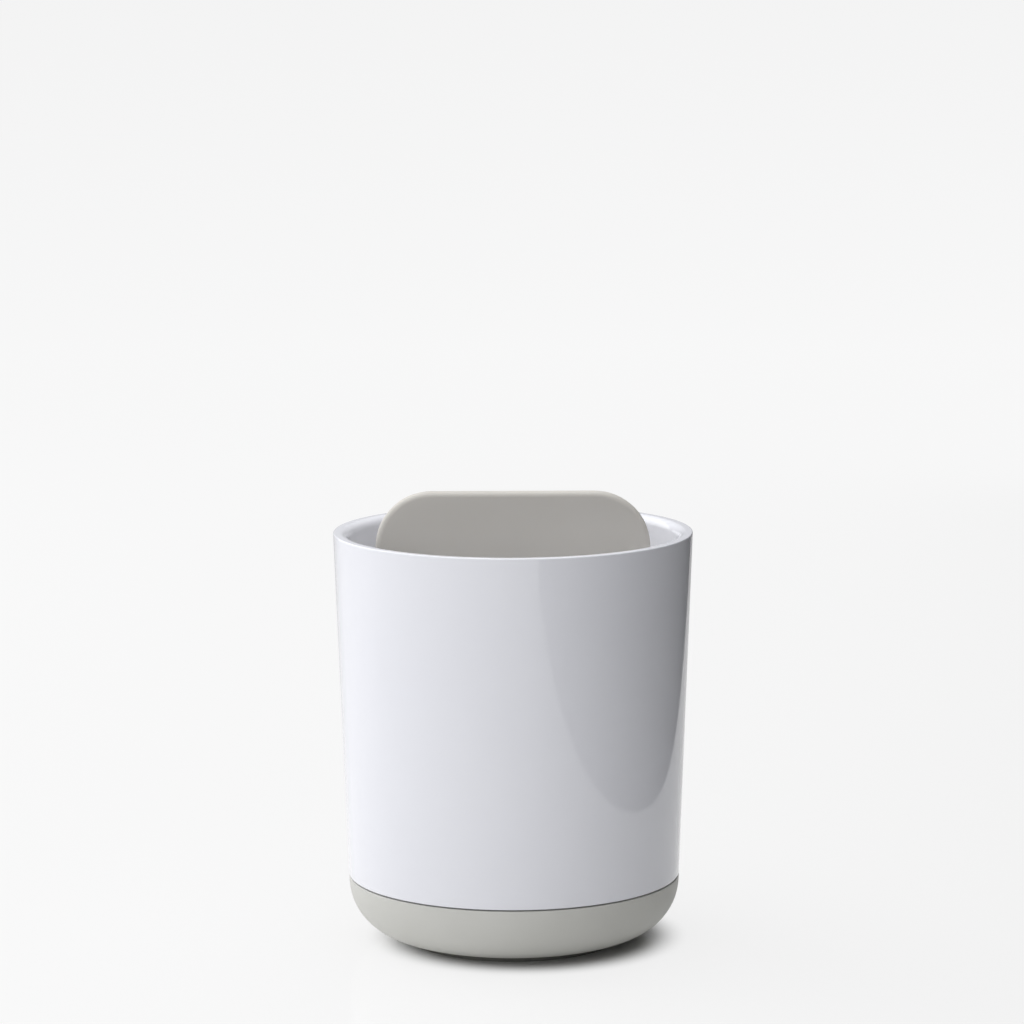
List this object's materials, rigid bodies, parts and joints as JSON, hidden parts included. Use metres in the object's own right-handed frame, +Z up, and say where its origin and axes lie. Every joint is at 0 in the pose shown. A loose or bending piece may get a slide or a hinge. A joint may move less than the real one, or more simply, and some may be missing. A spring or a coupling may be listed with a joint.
{
  "type": "toothbrush holder",
  "caption": "Round tapered cup that plugs into a rounded base on a foot ring, parted by a lift-out divider panel, for standing toothbrushes and a toothpaste tube.",
  "frame": {"origin": "centre of the foot ring's lower face, on the table", "axes": "+Z up along the axis of the cup, -Y towards the front, the divider in the XZ plane"},
  "size_m": [0.102, 0.102, 0.1289],
  "materials": {
    "cup_white": "gloss, moulded white",
    "base_grey": "fine matt texture, warm light grey",
    "divider_stone": "satin, stone grey",
    "foot_elastomer": "matt, dark grey",
    "seal_silicone": "satin, pale grey"
  },
  "bodies": {
    "base": {"base_dish": "base_grey", "foot_ring": "foot_elastomer"},
    "cup": {"cup_sleeve": "cup_white", "seal_ring": "seal_silicone"},
    "divider": {"divider_panel": "divider_stone"}
  },
  "joints": [
    {"name": "cup_lift", "type": "slide", "parent": "base", "child": "cup", "axis": [0, 0, 1], "range_m": [0, 0.12]},
    {"name": "divider_lift", "type": "slide", "parent": "base", "child": "divider", "axis": [0, 0, 1], "range_m": [0, 0.12]}
  ]
}
